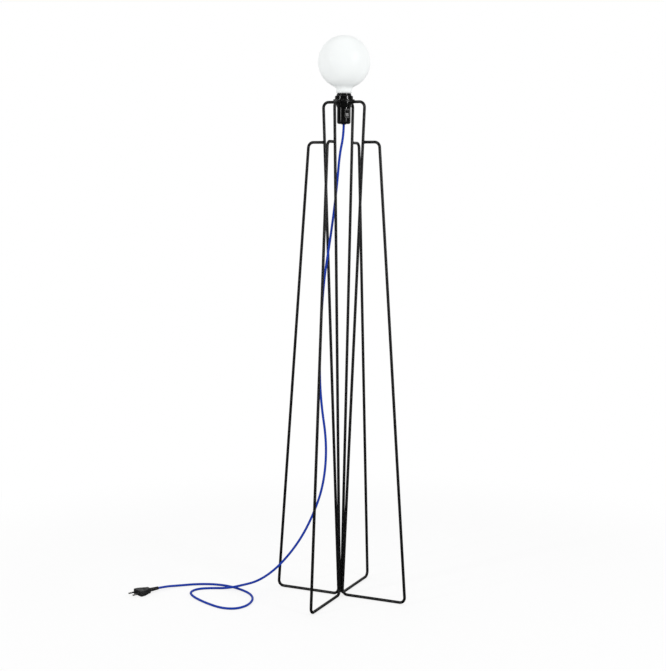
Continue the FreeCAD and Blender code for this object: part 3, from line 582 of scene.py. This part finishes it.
def carve(piece, cutter):
    """Cuts one shape out of another and leaves the piece in hand."""
    bpy.ops.object.select_all(action="DESELECT")
    bpy.context.view_layer.objects.active = piece
    piece.select_set(True)
    cut = piece.modifiers.new("cut", "BOOLEAN")
    cut.object = cutter
    bpy.ops.object.modifier_apply(modifier="cut")
    bpy.data.objects.remove(cutter)
    bpy.ops.object.shade_smooth_by_angle(angle=math.radians(35.0))


add_box(
    (WINDOW_BACK, -FRAME_WIDTH / 2 - PLAY, SWITCH_HEIGHT - FRAME_HEIGHT / 2 - PLAY),
    (WINDOW_FRONT, FRAME_WIDTH / 2 + PLAY, SWITCH_HEIGHT + FRAME_HEIGHT / 2 + PLAY))
window = begin("window")
bpy.ops.object.mode_set(mode="OBJECT")
swing_to_switch(window)
carve(cap, window)
put_on(cap, gloss, "lamp", "holder", "holder_cap")


# Switch: a small frame of semi-gloss black nylon is pushed into the window, and a rocker tips on a
# steel pin across it. The rocker's face is a shallow V, and its upper end is pressed in.

FRAME_BACK = 0.0090
FRAME_FACE = 0.0184
FRAME_RIM = 0.0021
WELL_DEPTH = 0.0073
WELL_RIM_HEIGHT = FRAME_HEIGHT - 2 * FRAME_RIM
WELL_HEIGHT = 0.0158
PIVOT_REACH = 0.0150
ROCKER_CREST = 0.0183
ROCKER_DIP = 0.0011
ROCKER_HALF_WIDTH = 0.00385
ROCKER_HALF_HEIGHT = 0.0073
ROCKER_WAIST = 0.0070
ROCKER_BACK = 0.0018
ROCKER_HUB = 0.0025
ROCKER_TILT = math.radians(7.5)

nylon, where = new_finish("black_nylon")
grain = cloudy(where, 6500.0, 1.0)
dress(nylon, {
    "Base Color": grain.blend((0.004, 0.004, 0.004, 1.0), (0.009, 0.009, 0.009, 1.0)),
    "Roughness": grain * 0.14 + 0.20,
    "Specular IOR Level": 0.35,
    "Normal": grain.relief(0.00002, 0.35),
})


def soften(piece, width, segments, angle):
    """Rounds the piece's edges with a bevel, and keeps the faces between them flat in the light."""
    bevel = piece.modifiers.new("soften", "BEVEL")
    bevel.width = width
    bevel.segments = segments
    bevel.limit_method = "ANGLE"
    bevel.angle_limit = math.radians(angle)
    bevel.harden_normals = True
    bpy.ops.object.modifier_apply(modifier="soften")


add_box((FRAME_BACK, -FRAME_WIDTH / 2, SWITCH_HEIGHT - FRAME_HEIGHT / 2),
        (FRAME_FACE, FRAME_WIDTH / 2, SWITCH_HEIGHT + FRAME_HEIGHT / 2))
bezel = begin("switch_bezel")
choose(bezel, "FACE", lambda face: face.normal.x > 0.9)
bpy.ops.mesh.inset(thickness=FRAME_RIM)
bpy.ops.transform.resize(value=(1.0, 1.0, WELL_HEIGHT / WELL_RIM_HEIGHT),
                         center_override=(FRAME_FACE, 0.0, SWITCH_HEIGHT))
draw_out((-WELL_DEPTH, 0.0, 0.0))
close_up()
soften(bezel, width=0.0005, segments=4, angle=30.0)
swing_to_switch(bezel)
put_on(bezel, nylon, "lamp", "switch", "switch_frame")

add_box((PIVOT_REACH, -ROCKER_HALF_WIDTH, SWITCH_HEIGHT - ROCKER_HALF_HEIGHT),
        (ROCKER_CREST, ROCKER_HALF_WIDTH, SWITCH_HEIGHT + ROCKER_HALF_HEIGHT))
rocker = begin("rocker_key")
bpy.ops.mesh.bisect(plane_co=(0.0, 0.0, SWITCH_HEIGHT), plane_no=(0.0, 0.0, 1.0))
choose(rocker, "EDGE", lambda edge: all(
    abs(end.co.z - SWITCH_HEIGHT) < 0.00001 and end.co.x > (PIVOT_REACH + ROCKER_CREST) / 2
    for end in edge.verts))
bpy.ops.transform.translate(value=(-ROCKER_DIP, 0.0, 0.0))
choose(rocker, "FACE", lambda face: face.normal.x < -0.9)
bpy.ops.transform.resize(value=(1.0, 1.0, ROCKER_WAIST / ROCKER_HALF_HEIGHT),
                         center_override=(PIVOT_REACH, 0.0, SWITCH_HEIGHT))
draw_out((-ROCKER_BACK, 0.0, 0.0))
bpy.ops.transform.resize(value=(1.0, 1.0, ROCKER_HUB / ROCKER_WAIST),
                         center_override=(PIVOT_REACH, 0.0, SWITCH_HEIGHT))
close_up()
soften(rocker, width=0.00035, segments=3, angle=15.0)
pivot = Matrix.Translation((PIVOT_REACH, 0.0, SWITCH_HEIGHT))
rocker.matrix_world = pivot @ Matrix.Rotation(-ROCKER_TILT, 4, "Y") @ pivot.inverted()
bpy.ops.object.transform_apply(location=True, rotation=True, scale=True)
swing_to_switch(rocker)
put_on(rocker, gloss, "rocker", "switch", "switch_rocker")


# Inside of the lampholder: a rolled brass screw shell and a bent centre contact stand on a white
# ceramic block, with two brass terminals and their steel screws under it. Two insulated cores of
# the cord run up to them through the grip in the cap's floor.


def how_far(places, direction):
    """How far the places lie in a direction."""
    return places.node("ShaderNodeVectorMath", {"operation": "DOT_PRODUCT"},
                       {0: places, 1: tuple(direction)}, "Value")


brass, where = new_finish("brass")
tarnish = cloudy(where, 160.0, 4.0)
dress(brass, {
    "Base Color": tarnish.blend((0.46, 0.30, 0.11, 1.0), (0.80, 0.58, 0.26, 1.0)),
    "Metallic": 1.0,
    "Roughness": tarnish * 0.25 + 0.18,
})

steel, where = new_finish("zinc_plated_steel")
spangle = cloudy(where, 600.0, 3.0)
dress(steel, {
    "Base Color": spangle.blend((0.42, 0.43, 0.45, 1.0), (0.66, 0.67, 0.68, 1.0)),
    "Metallic": 1.0,
    "Roughness": spangle * 0.2 + 0.25,
})

ceramic, where = new_finish("white_ceramic")
clay = cloudy(where, 900.0, 4.0)
dress(ceramic, {
    "Base Color": clay.blend((0.66, 0.62, 0.55, 1.0), (0.78, 0.75, 0.69, 1.0)),
    "Roughness": clay * 0.2 + 0.45,
    "Normal": clay.relief(0.00008, 0.4),
})

cores, where = new_finish("lead_sleeves")
sideways = (-math.sin(SWITCH_ANGLE), math.cos(SWITCH_ANGLE), 0.0)
to_left = how_far(where, sideways) < 0.0
skin = cloudy(where, 800.0, 2.0)
dress(cores, {
    "Base Color": to_left.blend((0.020, 0.055, 0.30, 1.0), (0.11, 0.035, 0.012, 1.0)),
    "Roughness": skin * 0.2 + 0.35,
})

SCREW_PITCH = 0.00363
SCREW_DEPTH = 0.00045
SCREW_SHEET = 0.0004
SCREW_TOP = 0.0092
SHELL = 0.01325
SHELL_FOOT = -0.0137
SHELL_THREAD_FOOT = -0.0117
SHELL_TOP = 0.0105

shell_rings = thread(SHELL, SCREW_DEPTH, SCREW_PITCH, SHELL_THREAD_FOOT, SCREW_TOP)
shell = turned("brass_screw_shell", [(SHELL, SHELL_FOOT)] + shell_rings
               + [(SHELL, SHELL_TOP), (SHELL + SCREW_SHEET, SHELL_TOP)]
               + [(radius + SCREW_SHEET, *rest) for radius, *rest in reversed(shell_rings)]
               + [(SHELL + SCREW_SHEET, SHELL_FOOT)])
close_up()
put_on(shell, brass, "lamp", "contact", "screw_shell")

for node, finish in (("centre_contact", brass), ("terminal_blocks", brass), ("terminal_screws", steel),
                     ("rocker_pin", steel), ("contact_block", ceramic), ("inner_leads", cores),
                     ("cord_grip", nylon)):
    paint_node(node, finish)


# Globe bulb: a blown opal glass globe, coved into a short neck. The neck is cemented into a rolled
# nickel-plated screw cap with a black glass insulator and a soldered contact at its foot.

GLOBE_LEVEL = 0.0905
GLOBE = 0.0625
NECK = 0.0192
NECK_FOOT = 0.0165
COVE = 0.009
COVE_STEPS = 12
TAIL = 0.0116
TAIL_FOOT = -0.0005
GLASS_WALL = 0.0012
SCREW_CAP = 0.01275
SCREW_CAP_RIM = 0.0132
SCREW_CAP_FOOT = -0.0065
CAP_THREAD_FOOT = -0.0047
FOOT_HOLE = 0.0052

opal, where = new_finish("opal_glass")
milk = cloudy(where, 14.0, 2.0)
dress(opal, {
    "Base Color": milk.blend((0.90, 0.93, 0.925, 1.0), (0.925, 0.945, 0.94, 1.0)),
    "Roughness": milk * 0.08 + 0.32,
    "Specular IOR Level": 0.30,
})

cove_level = GLOBE_LEVEL - math.sqrt((GLOBE + COVE) ** 2 - (NECK + COVE) ** 2)
meeting = GLOBE_LEVEL - (GLOBE_LEVEL - cove_level) * GLOBE / (GLOBE + COVE)
bpy.ops.object.select_all(action="DESELECT")
bpy.ops.mesh.primitive_uv_sphere_add(segments=128, ring_count=80, radius=GLOBE,
                                     location=(0.0, 0.0, SEAT + GLOBE_LEVEL))
globe = begin("opal_globe")
bpy.ops.mesh.bisect(plane_co=(0.0, 0.0, SEAT + meeting), plane_no=(0.0, 0.0, 1.0), clear_inner=True)
bpy.ops.mesh.select_all(action="DESELECT")
bpy.ops.mesh.select_non_manifold()
level = meeting
reach = math.sqrt(GLOBE ** 2 - (GLOBE_LEVEL - meeting) ** 2)
rings = []
steep = math.acos((NECK + COVE - reach) / COVE)
for step in range(1, COVE_STEPS + 1):
    turn = steep * (1.0 - step / COVE_STEPS)
    rings.append((NECK + COVE - COVE * math.cos(turn), cove_level + COVE * math.sin(turn)))
rings += rounded([(NECK, cove_level), (NECK, NECK_FOOT, 0.0045), (TAIL, NECK_FOOT, 0.0006),
                  (TAIL, TAIL_FOOT)], steps=8)[1:]
for new_reach, new_level in rings:
    draw_out((0.0, 0.0, new_level - level), new_reach / reach, (0.0, 0.0, SEAT + new_level))
    level, reach = new_level, new_reach
bpy.ops.mesh.select_all(action="SELECT")
bpy.ops.mesh.normals_make_consistent(inside=False)
bpy.ops.object.mode_set(mode="OBJECT")
wall = globe.modifiers.new("glass", "SOLIDIFY")
wall.thickness = GLASS_WALL
wall.offset = -1.0
bpy.ops.object.modifier_apply(modifier="glass")
bpy.ops.object.shade_smooth_by_angle(angle=math.radians(50.0))
put_on(globe, opal, "bulb", "opal_glass", "bulb_globe")

nickel, where = new_finish("nickel_plate")
haze = cloudy(where, 220.0, 4.0)
dress(nickel, {
    "Base Color": haze.blend((0.56, 0.55, 0.52, 1.0), (0.74, 0.73, 0.70, 1.0)),
    "Metallic": 1.0,
    "Roughness": haze * 0.2 + 0.16,
})

foot = rounded([(0.0060, SCREW_CAP_FOOT), (0.0116, SCREW_CAP_FOOT, 0.0004), (SCREW_CAP, -0.0049, 0.0003),
                (SCREW_CAP, 0.0)])[1:-1]
cap_rings = thread(SCREW_CAP, SCREW_DEPTH, SCREW_PITCH, CAP_THREAD_FOOT, SCREW_TOP)
rim = rounded([(SCREW_CAP, 0.0095), (SCREW_CAP, 0.0105, 0.0004), (SCREW_CAP_RIM, 0.0112, 0.0004),
               (SCREW_CAP_RIM, NECK_FOOT)])[1:]
screw_cap = turned("rolled_screw_cap", [(FOOT_HOLE, SCREW_CAP_FOOT)] + foot + cap_rings + rim
                   + [(0.0127, NECK_FOOT), (0.0127, 0.0115), (0.01235, 0.0105)]
                   + [(radius - SCREW_SHEET, *rest) for radius, *rest in reversed(cap_rings)]
                   + [(0.0113, -0.0061), (FOOT_HOLE, -0.0061)])
close_up()
put_on(screw_cap, nickel, "bulb", "bulb_metal", "bulb_cap")

glass, where = new_finish("clear_glass")
seed = cloudy(where, 120.0, 2.0)
dress(glass, {
    "Base Color": (0.93, 0.95, 0.94, 1.0),
    "Roughness": seed * 0.05 + 0.02,
    "Transmission Weight": 0.9,
})

insulator, where = new_finish("black_glass")
flow = cloudy(where, 300.0, 2.0)
dress(insulator, {
    "Base Color": flow.blend((0.006, 0.005, 0.009, 1.0), (0.014, 0.011, 0.020, 1.0)),
    "Roughness": flow * 0.1 + 0.08,
    "Normal": flow.relief(0.0001, 0.3),
})
for node, finish in (("bulb_stem", glass), ("bulb_filament", steel), ("bulb_insulator", insulator),
                     ("bulb_contact", steel)):
    paint_node(node, finish)


# Plug: a flat two-pin plug, moulded in black rubber-like plastic onto the cord's far end, with grip
# ribs, a mould seam, a ribbed boot that keeps the cord from kinking and two round pins, sleeved at
# their roots.

PLUG_BACK = Vector(CORD_ROUTE[-1])
PLUG_HEADING = (PLUG_BACK - Vector(CORD_ROUTE[-2])).normalized()
PLUG_LENGTH = 0.036
PLUG_WIDTH = 0.035
PLUG_FRONT = 0.0120
PLUG_TAPERS = ((0.0180, 0.0170), (0.0060, 0.0144))
PLUG_THICKNESS = 0.0137
PIN_SLEEVE = 0.010
SEAM_WIDTH = 0.00025
SEAM_SHARE = 0.985
GRIP_RIBS = 6
RIB_START = 0.0150
RIB_STEP = 0.0022
RIB_WIDTH = 0.0011
RIB_DEPTH = 0.0006
FIRST_RIB = 0.0105
RIB_SHORTENS = 0.0011

rubber, where = new_finish("black_rubber")
grain = cloudy(where, 900.0, 3.0)
dress(rubber, {
    "Base Color": grain.blend((0.010, 0.010, 0.011, 1.0), (0.018, 0.018, 0.019, 1.0)),
    "Roughness": grain * 0.2 + 0.42,
    "Normal": grain.relief(0.0001, 0.5),
})

pin_metal, where = new_finish("sleeved_pins")
sleeved = how_far(where, PLUG_HEADING) < PLUG_BACK.dot(PLUG_HEADING) + PLUG_LENGTH + PIN_SLEEVE
scratches = cloudy(where, 700.0, 2.0)
dress(pin_metal, {
    "Base Color": sleeved.blend((0.62, 0.60, 0.56, 1.0), (0.014, 0.014, 0.015, 1.0)),
    "Metallic": 1.0 - sleeved,
    "Roughness": scratches * 0.18 + 0.2,
})


def on_seam(edge):
    """Whether the edge lies at the half height, where the two halves of the mould meet."""
    return all(abs(end.co.z - PLUG_THICKNESS / 2) < 0.00001 for end in edge.verts)


# It is modelled with its pins towards +X, its mating face at zero and the floor below it.
add_box((-PLUG_FRONT, -PLUG_WIDTH / 2, 0.0), (0.0, PLUG_WIDTH / 2, PLUG_THICKNESS))
housing = begin("plug_housing")
choose(housing, "FACE", lambda face: face.normal.x < -0.9)
centre_line = (0.0, 0.0, PLUG_THICKNESS / 2)
wide = PLUG_WIDTH
for step, width in PLUG_TAPERS:
    draw_out((-step, 0.0, 0.0))
    bpy.ops.transform.resize(value=(1.0, width / wide, 1.0), center_override=centre_line)
    wide = width
close_up()
soften(housing, width=0.0020, segments=4, angle=20.0)
bpy.ops.mesh.customdata_custom_splitnormals_clear()
bpy.ops.object.mode_set(mode="EDIT")
bpy.ops.mesh.select_all(action="SELECT")
bpy.ops.mesh.bisect(plane_co=centre_line, plane_no=(0.0, 0.0, 1.0))
choose(housing, "EDGE", on_seam)
bpy.ops.mesh.bevel(offset=SEAM_WIDTH, segments=2)
choose(housing, "EDGE", on_seam)
bpy.ops.transform.resize(value=(SEAM_SHARE, SEAM_SHARE, 1.0),
                         center_override=(-PLUG_LENGTH / 2, 0.0, PLUG_THICKNESS / 2))
bpy.ops.object.mode_set(mode="OBJECT")

bpy.ops.object.select_all(action="DESELECT")
rib_cuts = []
for number in range(GRIP_RIBS):
    reach = -RIB_START - RIB_STEP * number
    half = FIRST_RIB - RIB_SHORTENS * number
    for low in (-RIB_DEPTH, PLUG_THICKNESS - RIB_DEPTH):
        add_box((reach - RIB_WIDTH, -half, low), (reach, half, low + 2 * RIB_DEPTH))
        rib_cuts.append(bpy.context.object)
for piece in rib_cuts:
    piece.select_set(True)
bpy.context.view_layer.objects.active = rib_cuts[0]
bpy.ops.object.join()
carve(housing, bpy.context.object)

turn = math.atan2(PLUG_HEADING.y, PLUG_HEADING.x)
housing.rotation_euler = (0.0, 0.0, turn)
housing.location = PLUG_BACK + PLUG_HEADING * PLUG_LENGTH - Vector(centre_line)
bpy.ops.object.transform_apply(location=True, rotation=True, scale=True)
put_on(housing, rubber, "lamp", "plug", "plug_body")

paint_node("plug_relief", rubber)
paint_node("plug_pins", pin_metal)


# Floor and light: a pale floor that turns into the white background away from the lamp, a narrow soft
# lamp at the camera's left, one that leans at its right, and a wide one overhead. Shiny pieces mirror
# a dim floor and a dim room with a bright strip at each side, so that black stays black.

FLOOR_SIZE = 60.0
FLOOR_COLOUR = (0.86, 0.86, 0.86, 1.0)
FLOOR_SHOWS_LIGHT = 0.22
SHADOW_REACH = 0.7
SHADOW_FADE = 0.8
NEAR_FLOOR = 0.8
FAR_FLOOR = 6.0
MIRRORED_NEAR = (0.05, 0.05, 0.05, 1.0)
MIRRORED_FAR = (0.40, 0.40, 0.40, 1.0)
WHITE = (1.0, 1.0, 1.0, 1.0)
SIGHT = Vector((camera.location.x, camera.location.y, 0.0)).normalized()


def path_kinds(shade):
    """One where a ray comes from the camera, and one where it comes from a shiny or clear surface."""
    camera_ray, glossy_ray, clear_ray = (
        shade.node("ShaderNodeLightPath", out=kind)
        for kind in ("Is Camera Ray", "Is Glossy Ray", "Is Transmission Ray"))
    return camera_ray, shade.maths("MAXIMUM", glossy_ray, clear_ray)


def ease(shade, start, end, low=0.0, high=1.0):
    """Goes smoothly from low to high while the shade goes from start to end."""
    return shade.node("ShaderNodeMapRange", {"interpolation_type": "SMOOTHSTEP"},
                      {"Value": shade, "From Min": start, "From Max": end, "To Min": low, "To Max": high})


bpy.ops.object.select_all(action="DESELECT")
bpy.ops.mesh.primitive_plane_add(size=FLOOR_SIZE, location=(0.0, 0.0, 0.0))
floor = bpy.context.object
floor.name = "floor"
pale, where = new_finish("pale_floor")
pale.cycles.emission_sampling = "NONE"
dress(pale, {"Base Color": FLOOR_COLOUR, "Roughness": 0.9, "Specular IOR Level": 0.1})
from_camera, from_shine = path_kinds(where)
away = where.node("ShaderNodeVectorMath", {"operation": "LENGTH"}, {0: where}, "Value")
far_off = ease(away, SHADOW_REACH, SHADOW_REACH + SHADOW_FADE)
white = where.node("ShaderNodeEmission", {}, {"Color": WHITE, "Strength": 1.0})
mirrored = ease(away, NEAR_FLOOR, FAR_FLOOR).blend(MIRRORED_NEAR, MIRRORED_FAR)
dim = where.node("ShaderNodeEmission", {}, {"Color": mirrored, "Strength": 1.0})
whiteness = from_camera * (far_off * FLOOR_SHOWS_LIGHT + (1.0 - FLOOR_SHOWS_LIGHT))
surface = Shade(pale.node_tree, pale.node_tree.nodes["Principled BSDF"].outputs[0])
mixed = where.node("ShaderNodeMixShader", {}, {0: whiteness, 1: surface, 2: white})
mixed = where.node("ShaderNodeMixShader", {}, {0: from_shine, 1: mixed, 2: dim})
pale.node_tree.links.new(mixed.socket, pale.node_tree.nodes["Material Output"].inputs["Surface"])
floor.data.materials.append(pale)


def towards(turn, rise):
    """The direction so many degrees above the level and to the right of the camera, seen from the lamp."""
    level = Matrix.Rotation(math.radians(turn), 3, "Z") @ SIGHT
    return level * math.cos(math.radians(rise)) + Vector((0.0, 0.0, math.sin(math.radians(rise))))


def soft_lamp(name, foot, head, aim, distance, width, power, mirrored=True):
    """A soft lamp of this width that reaches from one direction up to another. Gives the direction of
    its middle, and the one across it."""
    way = (foot + head).normalized()
    side = foot.cross(head).normalized()
    lamp = bpy.data.lights.new(name, "AREA")
    lamp.shape = "RECTANGLE"
    lamp.size = width
    lamp.size_y = 2 * distance * math.tan(foot.angle(head) / 2)
    lamp.energy = power
    holder = bpy.data.objects.new(name, lamp)
    holder.location = Vector(aim) + way * distance
    holder.rotation_euler = Matrix((side, way.cross(side), way)).transposed().to_euler()
    holder.visible_glossy = mirrored
    bpy.context.scene.collection.objects.link(holder)
    return way, side


SHOULDERS = (0.0, 0.0, 1.1)
MIDDLE = (0.0, 0.0, 0.6)

left_strip = soft_lamp("left_lamp", towards(-53.0, 6.0), towards(-53.0, 29.0), SHOULDERS,
                       distance=2.6, width=0.14, power=15.0, mirrored=False)
right_strip = soft_lamp("right_lamp", towards(44.0, 6.0), towards(54.5, 27.0), SHOULDERS,
                        distance=2.6, width=0.20, power=19.5)
soft_lamp("top_lamp", towards(0.0, 65.4), towards(180.0, 69.4), MIDDLE,
          distance=3.0, width=2.5, power=8.0)

ROOM_FRONT = 0.62
ROOM_BACK = 1.10
FRONT_ENDS = -0.2
BACK_STARTS = 0.4
MIRRORED_FRONT = 0.04
MIRRORED_WALL = 0.45
MIRRORED_CEILING = 0.65
STRIP_STRENGTH = 7.0
STRIP_REACH = math.radians(32.0)
STRIP_FADE = math.radians(18.0)
STRIP_EDGE = math.radians(5.0)
STRIP_CORE = math.radians(2.5)

world = bpy.data.worlds.new("white_room")
bpy.context.scene.world = world
world.use_nodes = True
world.cycles.sampling_method = "NONE"
heading = Shade(world.node_tree).node("ShaderNodeTexCoord", out="Generated")
from_camera, from_shine = path_kinds(heading)
behind = how_far(heading, -SIGHT)
far_side = ease(behind, FRONT_ENDS, BACK_STARTS, ROOM_FRONT, ROOM_BACK)
behind = heading.maths("MAXIMUM", behind, 0.0)
height = heading.node("ShaderNodeSeparateXYZ", {}, {"Vector": heading}, "Z")
wall = ease(height, MIRRORED_CEILING, MIRRORED_WALL)
mirrored = behind * behind * wall * (1.0 - MIRRORED_FRONT) + MIRRORED_FRONT
for way, side in (left_strip, right_strip):
    lengthwise = ease(how_far(heading, way), math.cos(STRIP_REACH), math.cos(STRIP_FADE))
    beside = heading.maths("ABSOLUTE", how_far(heading, side))
    narrow = ease(beside, math.sin(STRIP_EDGE), math.sin(STRIP_CORE))
    mirrored = mirrored + lengthwise * narrow * STRIP_STRENGTH
strength = from_camera + (1.0 - from_camera) * (from_shine * mirrored + (1.0 - from_shine) * far_side)
world.node_tree.nodes["Background"].inputs["Color"].default_value = WHITE
world.node_tree.links.new(strength.socket, world.node_tree.nodes["Background"].inputs["Strength"])

bpy.context.scene.view_settings.view_transform = "Standard"
